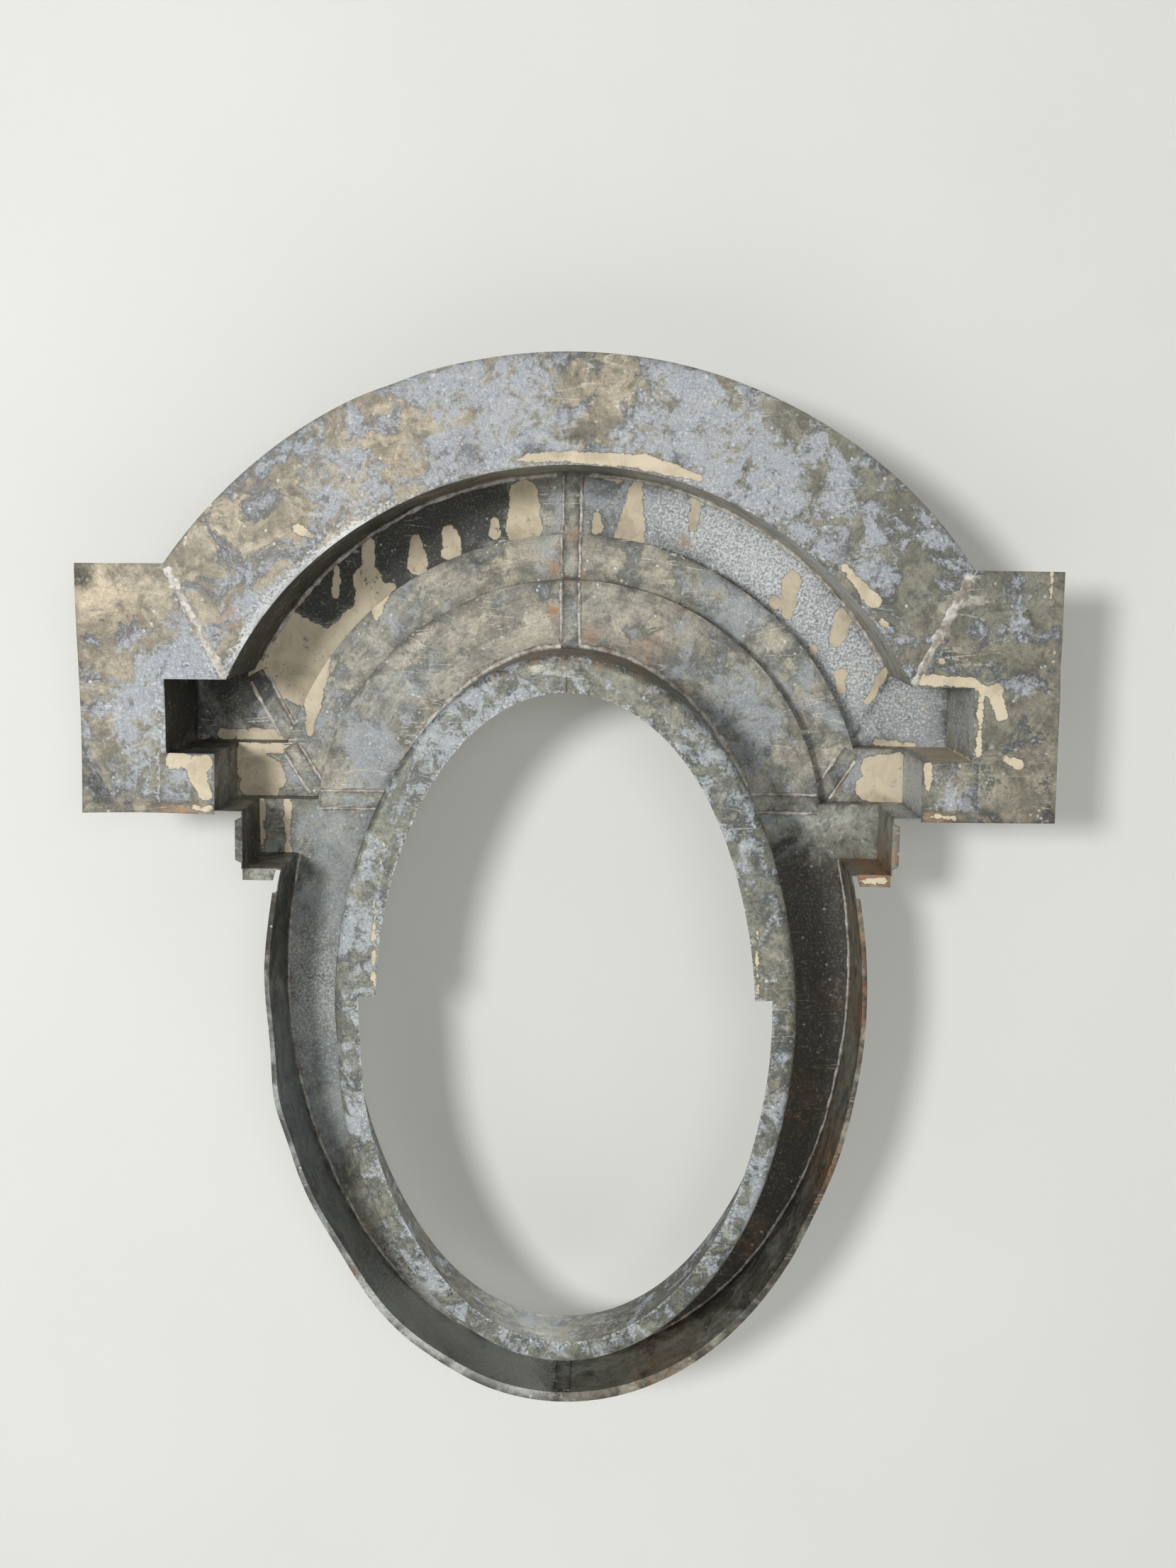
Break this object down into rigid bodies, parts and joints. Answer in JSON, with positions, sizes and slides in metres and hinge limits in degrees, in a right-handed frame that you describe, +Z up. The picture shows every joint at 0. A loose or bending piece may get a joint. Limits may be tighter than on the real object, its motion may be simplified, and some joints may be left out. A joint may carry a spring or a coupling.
{
  "type": "oval dormer window surround",
  "caption": "Sheet-zinc surround for an oval dormer window: arched stepped cornice with flat ears, short returns and crossettes, over an oval moulding and a ring with an open centre.",
  "frame": {"origin": "centre of the oval opening, in the plane of the wall flange", "axes": "+X is the width, +Z is up, +Y points out of the wall towards the street, so the back of the flange faces -Y"},
  "size_m": [1.22, 0.2171, 1.345],
  "materials": {
    "zinc_flange": "weathered zinc sheet, tan and blue-grey oxide",
    "zinc_moulding": "weathered zinc sheet, dark grey with cream paint runs",
    "zinc_ring": "weathered zinc sheet, mottled blue-grey oxide",
    "zinc_strap": "dull zinc strip",
    "soft_solder": "hand-run solder, oxidised"
  },
  "bodies": {
    "root": {"arch_flange_left": "zinc_flange", "arch_flange_right": "zinc_flange", "channel_wall_left": "zinc_moulding", "channel_wall_right": "zinc_moulding", "cornice_face_left": "zinc_moulding", "cornice_face_right": "zinc_moulding", "cornice_mitre_strap_left": "zinc_strap", "cornice_step_left": "zinc_moulding", "cornice_step_right": "zinc_moulding", "cornice_wall_left": "zinc_moulding", "cornice_wall_right": "zinc_moulding", "crossette_bottom_wall_left": "zinc_moulding", "crossette_bottom_wall_right": "zinc_moulding", "crossette_side_wall_left": "zinc_moulding", "crossette_side_wall_right": "zinc_moulding", "crown_strap_cornice": "zinc_strap", "crown_strap_inner_band": "zinc_strap", "crown_strap_outer_band": "zinc_strap", "ear_drip_strip_left": "zinc_flange", "ear_drip_strip_right": "zinc_flange", "ear_lower_panel_left": "zinc_flange", "ear_lower_panel_right": "zinc_flange", "ear_plate_left": "zinc_flange", "ear_plate_right": "zinc_flange", "foot_strap": "zinc_strap", "inner_band_left": "zinc_moulding", "inner_band_right": "zinc_moulding", "inner_band_step_left": "zinc_moulding", "inner_band_step_right": "zinc_moulding", "outer_band_bottom_wall_left": "zinc_moulding", "outer_band_bottom_wall_right": "zinc_moulding", "outer_band_end_cap_left": "zinc_moulding", "outer_band_end_cap_right": "zinc_moulding", "outer_band_left": "zinc_moulding", "outer_band_mitre_strap_left": "zinc_strap", "outer_band_mitre_strap_right": "zinc_strap", "outer_band_return_left": "zinc_moulding", "outer_band_return_right": "zinc_moulding", "outer_band_right": "zinc_moulding", "return_bottom_wall_left": "zinc_moulding", "return_bottom_wall_right": "zinc_moulding", "return_end_cap_left": "zinc_moulding", "return_end_cap_right": "zinc_moulding", "return_face_left": "zinc_moulding", "return_face_right": "zinc_moulding", "return_top_wall_left": "zinc_moulding", "return_top_wall_right": "zinc_moulding", "ring_flange_left": "zinc_ring", "ring_flange_right": "zinc_ring", "ring_wall_left": "zinc_ring", "ring_wall_right": "zinc_ring", "sill_lip_left": "zinc_ring", "sill_lip_right": "zinc_ring", "solder_crown": "soft_solder", "solder_left": "soft_solder", "solder_right": "soft_solder", "springing_strap_left": "zinc_strap", "springing_strap_right": "zinc_strap", "surround_face_left": "zinc_moulding", "surround_face_right": "zinc_moulding"}
  },
  "joints": []
}
